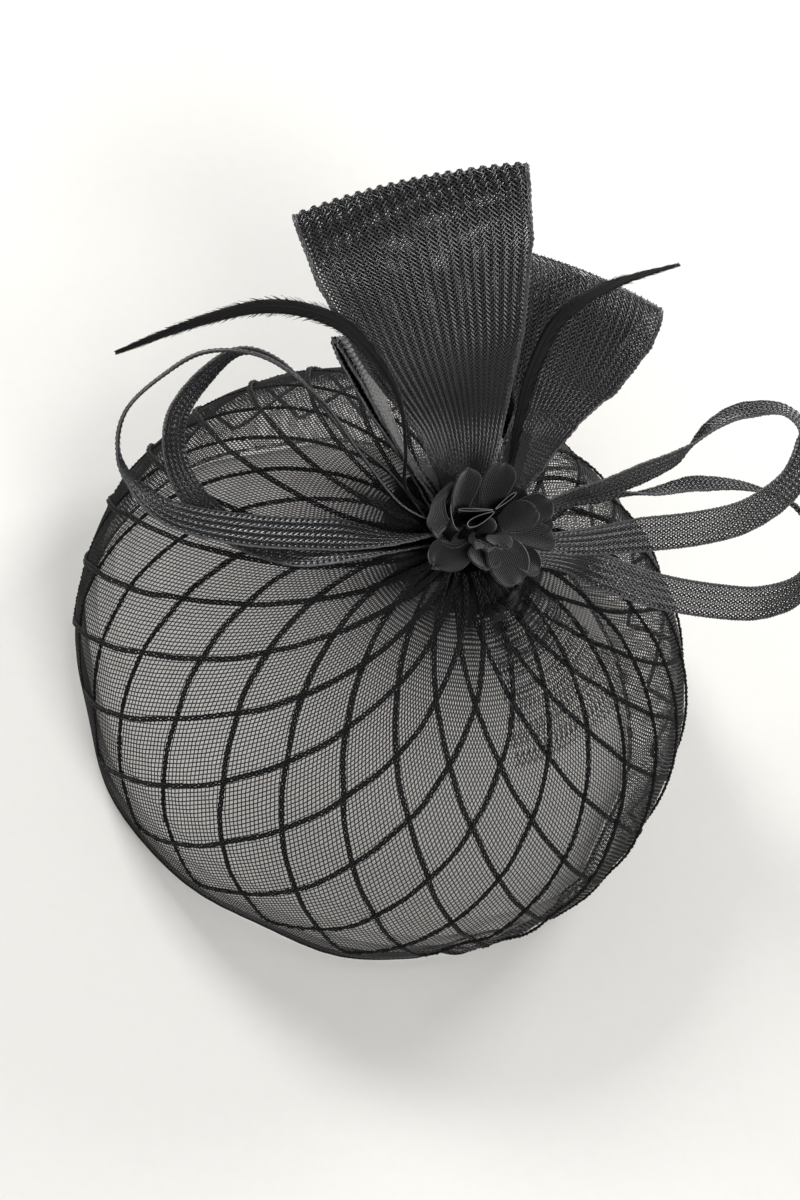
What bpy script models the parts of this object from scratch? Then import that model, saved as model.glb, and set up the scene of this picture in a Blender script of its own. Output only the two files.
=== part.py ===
"""The solid pieces of a fascinator: a net brim, a felt base, a hair clip, crin loops, feathers and a flower.

Lengths are millimetres. +Z is the brim's axis and points up, -Y is the wearer's front, and z = 0 is the
plane that the brim's rim stands on. The pieces are placed about the brim's axis. The empty that they hang
on moves them, so that the middle of the whole object's underside is the origin.
"""

import math

import bmesh
import bpy
from mathutils import Matrix, Vector

MM = 0.001
SEAT = 0.3  # left between pieces that rest on each other

# Net brim
BRIM_RADIUS = 129.0  # at the widest circle
WIDEST_Z = 37.0
CROWN_RISE = 83.0  # from the widest circle to the gather
CURL_DROP = 133.0  # half height of the curve below the widest circle, only the top of it is used
SUPERELLIPSE = 1.904
RIM_BAND = 1.2  # the last stretch is upright, so the rim is flat below
RIM_SHARE = (WIDEST_Z - RIM_BAND) / CURL_DROP
RIM_ANGLE = 90.0 + math.degrees(math.asin(RIM_SHARE ** (SUPERELLIPSE / 2)))  # down the curve from the gather
NET_WALL = 1.0
HOLE_RADIUS = 9.5
BRIM_SEGMENTS = 64
BRIM_LEVELS = 13
PLEATS = 16
PLEAT_RISE = 1.4  # the pleats only rise from the smooth curve, so the base stays clear
PLEAT_END = 62.0  # radius where the pleats have died away

# Base and hub
BASE_CENTRE = (5.0, 8.0)
BASE_RADIUS = 33.0
BASE_WALL = 2.5
BASE_GAP = 0.5
BASE_SEGMENTS = 40
BASE_RINGS = 5
BINDING_RADIUS = 8.9
BINDING_TOP = 131.0
CORE_CENTRE = (5.0, 0.0)
CORE_RADIUS = 3.6
CORE_TOP = 141.0
KNOT_RADIUS = 4.6
KNOT_RISE = 6.0
KNOT_NARROWING = 0.6
ROUND_SEGMENTS = 24

# Hair clip
CLIP_LENGTH = 50.0
CLIP_WIDTH = 11.0
CLIP_RISE = 5.0
CLIP_BEVEL = 1.5

# Cloth, crin and feathers
RIBBON_WALL = 1.0
PETAL_WALL = 1.0
FEATHER_WALL = 1.2
STEPS_PER_ROW = 3

# Wide loops: heading where the neck leaves the binding, root and tip of the middle line, direction of the
# width, widths at neck and tip, and how far the two layers swell from the middle line.
NECK_START = 10.2  # radius about the brim's axis
NECK_Z = (127.0, 124.8)  # of the front layer and of the back one
LOOPS = {
    "bow_front": {
        "heading": 92, "reach": 18, "root": (2, 32, 128), "tip": (-54, 81, 218), "side": (0.87, 0.16, 0.46),
        "neck": 13, "width": 85, "front": 11.5, "back": 13, "taper": 1.0,
    },
    "bow_left": {
        "heading": 136, "reach": 17, "root": (-21, 28, 125), "tip": (-59, 65, 140), "side": (0.36, 0.66, -0.67),
        "neck": 6.5, "width": 62, "front": 4.5, "back": 8.5, "taper": 1.3,
    },
    "bow_right": {
        "heading": 52, "reach": 17, "root": (22, 40, 126), "tip": (34, 95, 178), "side": (0.92, 0.17, -0.37),
        "neck": 8, "width": 77, "front": 8.5, "back": 9.5, "taper": 1.2,
    },
}

# One layer of a wide loop: share of the way from root to tip, of the swell and of the widening.
LAYER = ((0.05, 0.25, 0.1), (0.2, 0.65, 0.35), (0.5, 1.0, 0.69), (0.8, 0.86, 0.92), (0.96, 0.48, 0.98))

# Routes of the narrow strips and feathers as rows of x, y, z, width and turn in degrees about the route.
ROUTES = {
    "strip_left_outer": (
        (-10, 3, 128.5, 4.4, 0), (-27, 7.5, 130.5, 7, 0), (-47, 19, 142, 12, 0), (-66, 30, 154, 13, 0),
        (-88, 43, 155, 13, 0), (-109, 44, 150, 13, 0), (-123, 37, 139, 13, 20), (-133, 27, 127, 13, 30),
        (-133, 15, 118, 13, 20), (-125, 4, 114, 13, 30), (-109, -5, 113, 13, 50), (-81, -8, 117, 13, 60),
        (-48, -7, 124, 13, 60), (-28, -6, 127, 9, 30), (-10.4, -0.7, 128.4, 5, 0),
    ),
    "strip_left_inner": (
        (-10.1, 2.5, 123.7, 4.2, 0), (-29, 24, 125, 8, 0), (-48, 35, 128, 13, 0), (-64, 46, 135, 13, 0),
        (-79, 56, 138, 13, 0), (-94, 58, 136, 13, 10), (-105, 49, 127, 13, 35), (-112, 36, 118, 13, 45),
        (-110, 24, 109, 13, 45), (-101, 11, 104, 13, 50), (-86, -2, 106, 13, 60), (-62, -13, 117, 13, 60),
        (-37, -12, 125, 9, 30), (-10.1, -2.5, 123.8, 5, 0),
    ),
    "strip_right_upper": (
        (9.6, 3.9, 128.4, 5, 0), (36, 19, 136, 10, 0), (50, 24, 142, 13, 0), (65, 31, 148, 13, 0),
        (80, 40, 153, 13, 20), (91, 52, 160, 13, 60), (104, 60, 164, 13, 70), (120, 62, 167, 13, 60),
        (131, 53, 164, 13, 40), (127, 37, 155, 13, 10), (113, 25, 145, 13, 0), (94, 18, 139, 13, 0),
        (70, 12, 135, 13, 0), (43, 4.5, 132, 10, 0), (10.4, -0.7, 128.4, 5, 0),
    ),
    "strip_right_lower": (
        (9.8, 3.6, 123.8, 4, 0), (43, 28, 124, 8, 0), (58, 33, 125.5, 13, 20), (79, 38, 128, 13, 50),
        (99, 45, 131, 13, 50), (121, 47, 133, 13, 30), (141, 43, 132, 13, 20), (152, 30, 127, 13, 10),
        (147, 12, 122, 13, 0), (131, 3, 118.5, 13, 0), (112, 0, 117.5, 13, 0), (85, -1, 118, 13, 0),
        (60, 2, 119.5, 13, 0), (41, 0, 125, 8, 0), (10, -2.9, 123.8, 4.2, 0),
    ),
    "feather_left": (
        (-8.8, 4.8, 130.3, 2.2, 0), (-24.5, 13, 131.2, 2.4, 0), (-30.5, 20.5, 147, 3.2, 0),
        (-39, 30.5, 164, 5, 0), (-55, 38, 178.5, 6.5, 0), (-72, 45, 183, 6.8, 0), (-93, 50, 176, 6.5, 0),
        (-115, 49, 160, 4.5, 0), (-141, 43, 139, 1.5, 0),
    ),
    "feather_right": (
        (7.5, 6.8, 130.2, 2.2, 0), (15, 28, 135, 2.4, 0), (12, 39, 155, 5, 0), (10.5, 49.5, 173, 6.5, 0),
        (15, 63, 190, 6.5, 0), (31, 75, 200, 5.5, 0), (57, 87, 207, 1.5, 0),
    ),
}

# Directions that the widths run in, before the turn about the route.
ROUTE_SIDES = {
    "strip_left_outer": (-0.27, -0.5, 0.82),
    "strip_left_inner": (-0.27, -0.5, 0.82),
    "strip_right_upper": (-0.33, 0.15, 0.93),
    "strip_right_lower": (-0.33, 0.15, 0.93),
    "feather_left": (-0.17, 0.86, 0.47),
    "feather_right": (0.95, 0.02, 0.32),
}

# Petals as name: heading, height of the foot, tilt, length and width.
PETAL_CURL = 8.0  # degrees that the tilt grows by towards the tip
PETAL_CUP = 1.5  # rise of the edges
PETAL_WAIST = 0.34  # share of the width at the foot
PETAL_WIDEST = 0.58  # share of the length
PETALS = {
    "petal_outer_1": (-50, 133.2, 16, 22, 21),
    "petal_outer_2": (10, 131.5, 16, 24, 21),
    "petal_outer_3": (70, 133.2, 16, 22, 21),
    "petal_outer_4": (130, 131.5, 16, 20, 21),
    "petal_outer_5": (190, 133.2, 16, 18, 21),
    "petal_outer_6": (250, 131.5, 16, 19, 21),
    "petal_inner_1": (-46, 136.6, 50, 17, 14),
    "petal_inner_2": (20, 139.2, 50, 17, 14),
    "petal_inner_3": (85, 136.6, 50, 18, 14),
    "petal_inner_4": (144, 139.2, 50, 16, 13),
}

# Folded strip that stands on the flower's left
FOLD_RADIUS = 9.0
FOLD_FROM = 196.0
FOLD_TO = 268.0
FOLD_FOOT = 136.6
FOLD_RISE = 13.4
FOLD_LEAN = 1.6

MATERIALS = {
    "crin net": (0.012, 0.012, 0.013, 0.45, 0.0),
    "crin braid": (0.02, 0.02, 0.022, 0.4, 0.0),
    "wool felt": (0.01, 0.01, 0.011, 0.95, 0.0),
    "cotton cloth": (0.03, 0.03, 0.032, 0.9, 0.0),
    "satin ribbon": (0.012, 0.012, 0.013, 0.3, 0.0),
    "feather": (0.01, 0.01, 0.011, 0.7, 0.0),
    "black lacquered steel": (0.02, 0.02, 0.022, 0.35, 1.0),
}


def surface(name):
    """The material of that name, made on first use."""
    found = bpy.data.materials.get(name)
    if found:
        return found
    red, green, blue, rough, metal = MATERIALS[name]
    made = bpy.data.materials.new(name)
    made.use_nodes = True
    shader = made.node_tree.nodes["Principled BSDF"]
    shader.inputs["Base Color"].default_value = (red, green, blue, 1.0)
    shader.inputs["Roughness"].default_value = rough
    shader.inputs["Metallic"].default_value = metal
    return made


def add_piece(name, build, material, parent, place=(0.0, 0.0, 0.0), turn=0.0):
    """Hangs a bmesh in millimetres on the empty, at a place and turned by some degrees about Z."""
    bmesh.ops.recalc_face_normals(build, faces=build.faces)
    bmesh.ops.scale(build, vec=Vector((MM, MM, MM)), verts=build.verts)
    mesh = bpy.data.meshes.new(name)
    build.to_mesh(mesh)
    build.free()
    made = bpy.data.objects.new(name, mesh)
    made.data.materials.append(surface(material))
    made.location = Vector(place) * MM
    made.rotation_euler = (0.0, 0.0, math.radians(turn))
    made.parent = parent
    bpy.context.scene.collection.objects.link(made)
    return made


def thicken(piece, wall, offset=0.0):
    """Gives a sheet its wall, centred on it unless an offset says which side."""
    solidify = piece.modifiers.new("wall", "SOLIDIFY")
    solidify.thickness = wall * MM
    solidify.offset = offset
    solidify.use_even_offset = True
    return piece


def sheet(steps, divisions, place):
    """A grid bent by a function of the share along it and the share across it."""
    build = bmesh.new()
    bmesh.ops.create_grid(build, x_segments=steps, y_segments=divisions, size=0.5)
    for vert in build.verts:
        vert.co = place(vert.co.x + 0.5, vert.co.y)
    return build


def crown_height(radius):
    """Height of the smooth net above the rim's plane, inside the widest circle."""
    share = min(1.0, radius / BRIM_RADIUS) ** (SUPERELLIPSE / 2)
    return WIDEST_Z + CROWN_RISE * (1.0 - share * share) ** (1 / SUPERELLIPSE)


def brim_line(angle):
    """Radius and height of the smooth net at an angle in degrees down from the gather."""
    sine, cosine = math.sin(math.radians(angle)), math.cos(math.radians(angle))
    power = 2 / SUPERELLIPSE
    drop = CROWN_RISE if cosine >= 0 else CURL_DROP
    return BRIM_RADIUS * sine ** power, WIDEST_Z + math.copysign(drop * abs(cosine) ** power, cosine)


def turned(points, segments):
    """A line of radius and height points turned about Z."""
    build = bmesh.new()
    line = [build.verts.new((radius, 0.0, height)) for radius, height in points]
    edges = [build.edges.new(pair) for pair in zip(line, line[1:])]
    bmesh.ops.spin(
        build, geom=line + edges, cent=(0, 0, 0), axis=(0, 0, 1), angle=math.tau, steps=segments, use_merge=True
    )
    return build


def net_brim(parent):
    """The gathered dome of net, open below and with a small hole at the gather."""
    first = math.degrees(math.asin((HOLE_RADIUS / BRIM_RADIUS) ** (SUPERELLIPSE / 2)))
    levels = [first + (RIM_ANGLE - first) * j / (BRIM_LEVELS - 1) for j in range(BRIM_LEVELS)]
    points = [brim_line(angle) for angle in levels]
    rim_radius, rim_height = points[-1]
    build = turned(points + [(rim_radius, rim_height - RIM_BAND)], BRIM_SEGMENTS)
    for vert in build.verts:
        radius = math.hypot(vert.co.x, vert.co.y)
        fade = max(0.0, 1.0 - radius / PLEAT_END) * min(1.0, radius / 20.0)
        vert.co.z += PLEAT_RISE * fade * (1 + math.cos(PLEATS * math.atan2(vert.co.y, vert.co.x)))
    thicken(add_piece("net_brim", build, "crin net", parent), NET_WALL)


def base_disc(parent):
    """The felt disc that follows the net's underside."""
    build = turned([(BASE_RADIUS * j / BASE_RINGS, 0.0) for j in range(BASE_RINGS + 1)], BASE_SEGMENTS)
    bmesh.ops.remove_doubles(build, verts=build.verts, dist=0.01)
    for vert in build.verts:
        radius = math.hypot(vert.co.x + BASE_CENTRE[0], vert.co.y + BASE_CENTRE[1])
        vert.co.z = crown_height(radius) - NET_WALL / 2 - BASE_GAP
    made = add_piece("base_disc", build, "wool felt", parent, (*BASE_CENTRE, 0.0))
    thicken(made, BASE_WALL, -1.0)


def drum(name, centre, radius, bottom, top, material, parent, top_share=1.0):
    """An upright round piece, narrower at its top where top_share is below 1."""
    build = bmesh.new()
    bmesh.ops.create_cone(
        build, cap_ends=True, segments=ROUND_SEGMENTS, radius1=radius, radius2=radius * top_share, depth=top - bottom
    )
    add_piece(name, build, material, parent, (*centre, (top + bottom) / 2))


def hair_clip(parent):
    """The plain clip under the base, a bar with rounded ends and a flat underside."""
    reach = CLIP_LENGTH / 2
    seat = min(
        crown_height(math.hypot(BASE_CENTRE[0] + x, BASE_CENTRE[1] + y))
        for x in (-reach, reach)
        for y in (-CLIP_WIDTH / 2, CLIP_WIDTH / 2)
    )
    top = seat - NET_WALL / 2 - BASE_GAP - BASE_WALL - SEAT
    build = bmesh.new()
    bmesh.ops.create_cube(build, size=1.0)
    bmesh.ops.scale(build, vec=(CLIP_LENGTH, CLIP_WIDTH, CLIP_RISE), verts=build.verts)
    upright = [e for e in build.edges if abs(e.verts[0].co.z - e.verts[1].co.z) > 1.0]
    bmesh.ops.bevel(
        build, geom=upright, offset=CLIP_BEVEL, segments=2, profile=0.5, affect="EDGES", material=-1
    )
    add_piece("hair_clip", build, "black lacquered steel", parent, (*BASE_CENTRE, top - CLIP_RISE / 2))


def smooth_rows(rows):
    """Stations along a ribbon, through every row of its route."""
    points = [Vector(row[:3]) for row in rows]
    rest = [Vector(row[3:]) for row in rows]
    stations = []
    for i in range(len(rows) - 1):
        start, end = points[i], points[i + 1]
        lead = (end - points[max(i - 1, 0)]) / 2
        trail = (points[min(i + 2, len(rows) - 1)] - start) / 2
        for k in range(STEPS_PER_ROW):
            t = k / STEPS_PER_ROW
            at = start * (2 * t**3 - 3 * t**2 + 1) + end * (3 * t**2 - 2 * t**3)
            at += lead * (t**3 - 2 * t**2 + t) + trail * (t**3 - t**2)
            stations.append((at, *rest[i].lerp(rest[i + 1], t)))
    stations.append((points[-1], *rest[-1]))
    return stations


def ribbon(name, rows, reference, divisions, wall, material, parent):
    """A band of cloth, crin or feather along its rows."""
    stations = smooth_rows(rows)
    last = len(stations) - 1
    reference = Vector(reference).normalized()

    def place(along_share, across):
        n = round(along_share * last)
        at, width, turn = stations[n]
        along = (stations[min(n + 1, last)][0] - stations[max(n - 1, 0)][0]).normalized()
        side = (reference - along * reference.dot(along)).normalized()
        return at + Matrix.Rotation(math.radians(turn), 3, along) @ side * width * across

    made = add_piece(name, sheet(last, divisions, place), material, parent)
    thicken(made, wall)


def loop_rows(loop):
    """Rows of a wide loop: out along its front layer, over the tip and back along the other layer."""
    root, tip = Vector(loop["root"]), Vector(loop["tip"])
    along = (tip - root).normalized()
    side = Vector(loop["side"])
    facing = (side - along * side.dot(along)).normalized().cross(along)
    heading = math.radians(loop["heading"])
    widening = loop["width"] - loop["neck"]
    layers = []
    for swell, height, lift in ((loop["front"], NECK_Z[0], 0.3), (-loop["back"], NECK_Z[1], 0.3)):
        layer = []
        for radius, up, width in ((NECK_START, 0.0, loop["neck"] - 1.0), (loop["reach"], lift, loop["neck"])):
            layer.append((radius * math.cos(heading), radius * math.sin(heading), height + up, width, 0))
        for share, out, growth in LAYER:
            at = root.lerp(tip, share) + facing * swell * out
            layer.append((*at, loop["neck"] + widening * growth ** loop["taper"], 0))
        layers.append(layer)
    return layers[0] + [(*tip, loop["width"], 0)] + layers[1][::-1]


def petal(name, parent):
    """One cupped round petal of cloth that starts at the flower's core."""
    heading, foot, tilt, length, width = PETALS[name]

    def place(step_share, across):
        share = 1.0 - (1.0 - step_share) ** 1.6
        if share < PETAL_WIDEST:
            breadth = PETAL_WAIST + (1.0 - PETAL_WAIST) * math.sin(math.pi / 2 * share / PETAL_WIDEST)
        else:
            breadth = math.sqrt(1.0 - ((share - PETAL_WIDEST) / (1.01 - PETAL_WIDEST)) ** 2)
        angle = math.radians(tilt + PETAL_CURL * share / 2)
        rise = PETAL_CUP * (2 * across * breadth) ** 2
        start = CORE_RADIUS + SEAT + PETAL_WALL
        out = start + length * share * math.cos(angle) - rise * math.sin(angle)
        return Vector((out, across * breadth * width, length * share * math.sin(angle) + rise * math.cos(angle)))

    made = add_piece(name, sheet(7, 4, place), "cotton cloth", parent, (*CORE_CENTRE, foot + PETAL_WALL / 2), heading)
    thicken(made, PETAL_WALL)


def fold_strip(parent):
    """The strip of cloth that stands in a curve on the flower's left."""

    def place(share, across):
        around = math.radians(FOLD_TO - FOLD_FROM) * share
        out = FOLD_RADIUS + FOLD_LEAN * (across + 0.5)
        return Vector((out * math.cos(around), out * math.sin(around), FOLD_RISE * (across + 0.5)))

    made = add_piece("fold_strip", sheet(8, 2, place), "cotton cloth", parent, (*CORE_CENTRE, FOLD_FOOT), FOLD_FROM)
    thicken(made, PETAL_WALL)


def stand_on_origin(parent):
    """Moves the empty so that the middle of the whole object's underside is the origin."""
    bpy.context.view_layer.update()
    graph = bpy.context.evaluated_depsgraph_get()
    corners = []
    for piece in parent.children:
        solid = piece.evaluated_get(graph)
        corners += [solid.matrix_world @ vert.co for vert in solid.data.vertices]
    low = [min(corner[k] for corner in corners) for k in range(3)]
    high = [max(corner[k] for corner in corners) for k in range(3)]
    parent.location = (-(low[0] + high[0]) / 2, -(low[1] + high[1]) / 2, -low[2])


def main():
    """Builds every piece."""
    for old in list(bpy.data.objects):
        bpy.data.objects.remove(old, do_unlink=True)
    parent = bpy.data.objects.new("fascinator", None)
    bpy.context.scene.collection.objects.link(parent)
    net_brim(parent)
    base_disc(parent)
    seat = crown_height(0.0) - NET_WALL / 2 - BASE_GAP
    drum("binding", (0.0, 0.0), BINDING_RADIUS, seat + SEAT, BINDING_TOP, "satin ribbon", parent)
    drum("flower_core", CORE_CENTRE, CORE_RADIUS, BINDING_TOP + SEAT, CORE_TOP, "satin ribbon", parent)
    knot_bottom = CORE_TOP + SEAT
    knot_top = CORE_TOP + KNOT_RISE
    drum("satin_knot", CORE_CENTRE, KNOT_RADIUS, knot_bottom, knot_top, "satin ribbon", parent, KNOT_NARROWING)
    hair_clip(parent)
    for name, loop in LOOPS.items():
        ribbon(name, loop_rows(loop), loop["side"], 4, RIBBON_WALL, "crin braid", parent)
    for name, rows in ROUTES.items():
        feathery = name.startswith("feather")
        wall = FEATHER_WALL if feathery else RIBBON_WALL
        ribbon(name, rows, ROUTE_SIDES[name], 2, wall, "feather" if feathery else "crin braid", parent)
    for name in PETALS:
        petal(name, parent)
    fold_strip(parent)
    stand_on_origin(parent)


main()
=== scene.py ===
"""Dresses the fascinator's frame with threads, cords, crin loops, feathers and a cloth flower.

Lengths are millimetres about the brim's axis, with z = 0 on the plane that the rim stands on. They turn into
metres in the CAD's frame when a finished mesh is set down.
"""

import logging
import math
from dataclasses import dataclass, field
from enum import Enum
from typing import Callable, Iterable, Sequence

import bmesh
import bpy
import numpy as np
from mathutils import Matrix, Vector

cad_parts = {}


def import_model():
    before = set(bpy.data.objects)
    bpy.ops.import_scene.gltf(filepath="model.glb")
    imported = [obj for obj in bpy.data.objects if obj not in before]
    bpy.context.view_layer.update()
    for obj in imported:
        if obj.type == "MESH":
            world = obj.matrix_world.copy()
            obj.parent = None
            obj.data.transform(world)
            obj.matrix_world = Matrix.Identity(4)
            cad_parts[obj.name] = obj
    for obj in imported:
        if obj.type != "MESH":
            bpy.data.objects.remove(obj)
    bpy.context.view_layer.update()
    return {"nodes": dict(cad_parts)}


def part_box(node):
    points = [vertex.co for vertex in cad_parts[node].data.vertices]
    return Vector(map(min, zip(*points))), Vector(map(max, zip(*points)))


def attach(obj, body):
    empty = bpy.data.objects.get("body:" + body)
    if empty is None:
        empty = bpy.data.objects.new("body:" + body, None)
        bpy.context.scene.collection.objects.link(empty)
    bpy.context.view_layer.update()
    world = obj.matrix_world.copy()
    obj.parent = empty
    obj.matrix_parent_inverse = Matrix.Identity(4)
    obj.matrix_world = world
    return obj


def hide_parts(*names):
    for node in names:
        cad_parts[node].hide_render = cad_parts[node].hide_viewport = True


Array = np.ndarray
Triple = tuple[float, float, float]
Rows = Sequence[Sequence[float]]

LOG = logging.getLogger("fascinator")
MM = 0.001
BODY = "root"
SHEET_LEAST = 10.0  # the least that a side of a sheet can be
# Points closer than this become one.
THREAD_WELD = 0.002
TURNED_WELD = 0.01
WAVE_PERIOD = math.tau / 20.0  # what the Wave node repeats over at a scale of 1


class Section(Enum):
    """Number of sides of a thread's cross-section."""

    TRIANGLE = 3
    SQUARE = 4
    OCTAGON = 8


def srgb(code: str) -> tuple[float, ...]:
    """Turns an sRGB hex value into linear colour.

    Args:
        code: Six hex digits after a hash.

    Returns:
        Linear red, green, blue and an alpha of 1.
    """
    shares = [int(code[i:i + 2], 16) / 255 for i in (1, 3, 5)]
    linear = [s / 12.92 if s <= 0.04045 else ((s + 0.055) / 1.055) ** 2.4 for s in shares]
    return linear[0], linear[1], linear[2], 1.0


def add_node(tree: bpy.types.NodeTree, kind: str, inputs: dict | None = None, **settings) -> bpy.types.Node:
    """Adds a shader node with its settings and links.

    Args:
        tree: The material's node tree.
        kind: The node's type.
        inputs: Values by socket name or number. An output socket as the value is linked.
        **settings: The node's own properties.

    Returns:
        The new node.
    """
    made = tree.nodes.new(kind)
    for name, value in settings.items():
        setattr(made, name, value)
    for socket, value in (inputs or {}).items():
        if isinstance(value, bpy.types.NodeSocket):
            tree.links.new(value, made.inputs[socket])
        else:
            made.inputs[socket].default_value = value
    return made


def link(name: str, data: bpy.types.ID) -> bpy.types.Object:
    """Makes an object of its data and puts it in the scene."""
    made = bpy.data.objects.new(name, data)
    bpy.context.scene.collection.objects.link(made)
    return made


def finished(build: bmesh.types.BMesh, name: str) -> bpy.types.Mesh:
    """Turns what was built into a mesh."""
    mesh = bpy.data.meshes.new(name)
    build.to_mesh(mesh)
    build.free()
    return mesh


def turned(name: str, profile: Iterable[tuple[float, float]], steps: int) -> bpy.types.Mesh:
    """Turns a profile about the z axis.

    Args:
        name: Name of the mesh.
        profile: Radius and height of each point.
        steps: How many sides make up the round.

    Returns:
        The turned mesh.
    """
    build = bmesh.new()
    line = [build.verts.new((radius, 0.0, height)) for radius, height in profile]
    edges = [build.edges.new(pair) for pair in zip(line, line[1:])]
    bmesh.ops.spin(
        build, geom=line + edges, cent=(0, 0, 0), axis=(0, 0, 1), angle=math.tau, steps=steps, use_merge=True
    )
    bmesh.ops.remove_doubles(build, verts=build.verts, dist=TURNED_WELD)
    bmesh.ops.recalc_face_normals(build, faces=build.faces)
    return finished(build, name)


@dataclass(frozen=True)
class Finish:
    """A real material: its colours, gloss and the fibre that breaks its surface up."""

    name: str
    slot: str
    colour: str
    second: str
    roughness: float
    fibre_mm: float
    bump_mm: float
    sheen: float = 0.0
    coat: float = 0.0
    specular: float = 0.5

    SPREAD = 0.2
    SHEEN_ROUGHNESS = 0.4
    COAT_ROUGHNESS = 0.2
    FIBRE_DETAIL = 4.0
    FIBRE_ROUGHNESS = 0.6

    def build(self) -> bpy.types.Material:
        """Makes the Blender material."""
        made = bpy.data.materials.new(self.name)
        made.use_nodes = True
        tree = made.node_tree
        shader = tree.nodes["Principled BSDF"]
        self.set_constants(shader)
        noise = self.fibre(tree)
        height = self.height(tree, noise)
        # The base colour follows the height and is darker where it is low: random tone from fibre noise
        # alone, painted shade in the valleys of a woven finish's ribs.
        mix = add_node(tree, "ShaderNodeMix", {"Factor": height}, data_type="RGBA")
        mix.inputs[6].default_value = srgb(self.colour)
        mix.inputs[7].default_value = srgb(self.second)
        tree.links.new(mix.outputs[2], shader.inputs["Base Color"])
        rough = add_node(tree, "ShaderNodeMapRange", {
            "Value": noise.outputs["Fac"],
            "To Min": self.roughness * (1 - self.SPREAD),
            "To Max": min(1.0, self.roughness * (1 + self.SPREAD)),
        })
        tree.links.new(rough.outputs["Result"], shader.inputs["Roughness"])
        bump = add_node(
            tree, "ShaderNodeBump", {"Height": height, "Distance": self.bump_mm * MM, "Strength": 1.0}
        )
        tree.links.new(bump.outputs["Normal"], shader.inputs["Normal"])
        return made

    def set_constants(self, shader: bpy.types.Node) -> None:
        """Sets the numbers that are the same all over."""
        shader.inputs["Specular IOR Level"].default_value = self.specular
        shader.inputs["Sheen Weight"].default_value = self.sheen
        shader.inputs["Sheen Roughness"].default_value = self.SHEEN_ROUGHNESS
        shader.inputs["Coat Weight"].default_value = self.coat
        shader.inputs["Coat Roughness"].default_value = self.COAT_ROUGHNESS

    def fibre(self, tree: bpy.types.NodeTree) -> bpy.types.Node:
        """The noise of single fibres, in the piece's own space."""
        place = add_node(tree, "ShaderNodeTexCoord")
        return add_node(tree, "ShaderNodeTexNoise", {
            "Vector": place.outputs["Object"], "Scale": 1 / (self.fibre_mm * MM),
            "Detail": self.FIBRE_DETAIL, "Roughness": self.FIBRE_ROUGHNESS,
        })

    def height(self, tree: bpy.types.NodeTree, noise: bpy.types.Node) -> bpy.types.NodeSocket:
        """What the bump and the base colour read, here the fibre noise alone."""
        return noise.outputs["Fac"]


@dataclass(frozen=True)
class WovenFinish(Finish):
    """A cloth whose ribs run across the piece's own UV map, which is in metres."""

    rib_mm: float = 0.6
    cross_mm: float = 0.5

    WOBBLE = 0.6
    CROSS_SHARE = 0.4
    FIBRE_SHARE = 0.5

    def height(self, tree: bpy.types.NodeTree, noise: bpy.types.Node) -> bpy.types.NodeSocket:
        """Ribs with a finer weave across them, roughened by the fibres. The base colour follows this height,
        so the valleys between ribs are darker: painted shade.
        """
        place = add_node(tree, "ShaderNodeTexCoord")
        parts = []
        for size, direction, share in ((self.rib_mm, "Y", 1.0), (self.cross_mm, "X", self.CROSS_SHARE)):
            wave = add_node(
                tree, "ShaderNodeTexWave",
                {
                    "Vector": place.outputs["UV"], "Scale": WAVE_PERIOD / (size * MM),
                    "Distortion": self.WOBBLE,
                },
                bands_direction=direction,
            )
            parts.append((wave.outputs["Fac"], share))
        parts.append((noise.outputs["Fac"], self.FIBRE_SHARE))
        total = 0.0
        for part, share in parts:
            sums = add_node(tree, "ShaderNodeMath", {0: part, 1: share, 2: total}, operation="MULTIPLY_ADD")
            total = sums.outputs[0]
        whole = sum(share for _, share in parts)
        return add_node(tree, "ShaderNodeMath", {0: total, 1: whole}, operation="DIVIDE").outputs[0]


# Nylon monofilament, drawn smooth: it glints along its length.
NET_NYLON = Finish(
    "black nylon monofilament", "crin_net", "#0a0a0b", "#141415", 0.38, 1.2, 0.01, specular=0.45
)
# Spun polyester yarn worked into the net: duller and hairy.
CORD_YARN = Finish(
    "black spun polyester yarn", "crin_net", "#060607", "#101011", 0.8, 0.35, 0.08, sheen=0.12, specular=0.15
)
# Braided crin of flat nylon: each float catches the light.
CRIN_NYLON = Finish(
    "black braided nylon crin", "crin_braid", "#121214", "#272729", 0.25, 1.0, 0.01, specular=0.9
)
# The ribbon's closely braided edge, where the nylon lies thick: its lighter grey is a painted highlight for
# the shine along it.
CRIN_EDGE_PAINTED_SHINE = Finish(
    "black braided crin selvedge with painted shine", "crin_braid", "#2c2c2e", "#4a4a4d", 0.34, 1.0, 0.02, specular=0.8
)
# Pressed wool felt: matt, with a nap.
WOOL_FELT = Finish(
    "black pressed wool felt", "felt", "#060607", "#0e0e0f", 0.95, 0.3, 0.15, sheen=0.1, specular=0.1
)
# Ribbed cotton-polyester cloth, cut with a hot blade: matt, greyer where it faces the light. Its real rib of
# 0.7 mm is drawn at 0.9 mm, so that it shows.
# Its colour is darker in the valleys between ribs: painted shade.
FLOWER_CLOTH = WovenFinish(
    "black ribbed flower cloth", "cotton", "#0f0f10", "#262628", 0.85, 0.25, 0.4, sheen=0.3, specular=0.2,
    rib_mm=0.9, cross_mm=1.0,
)
# Polyester satin ribbon: smooth on its face.
# Its colour is a little darker in the valleys of its fine ribs: painted shade.
SATIN = WovenFinish(
    "black polyester satin", "satin", "#040405", "#0a0a0b", 0.26, 0.5, 0.015, specular=0.4,
    rib_mm=0.4, cross_mm=0.4,
)
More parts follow.
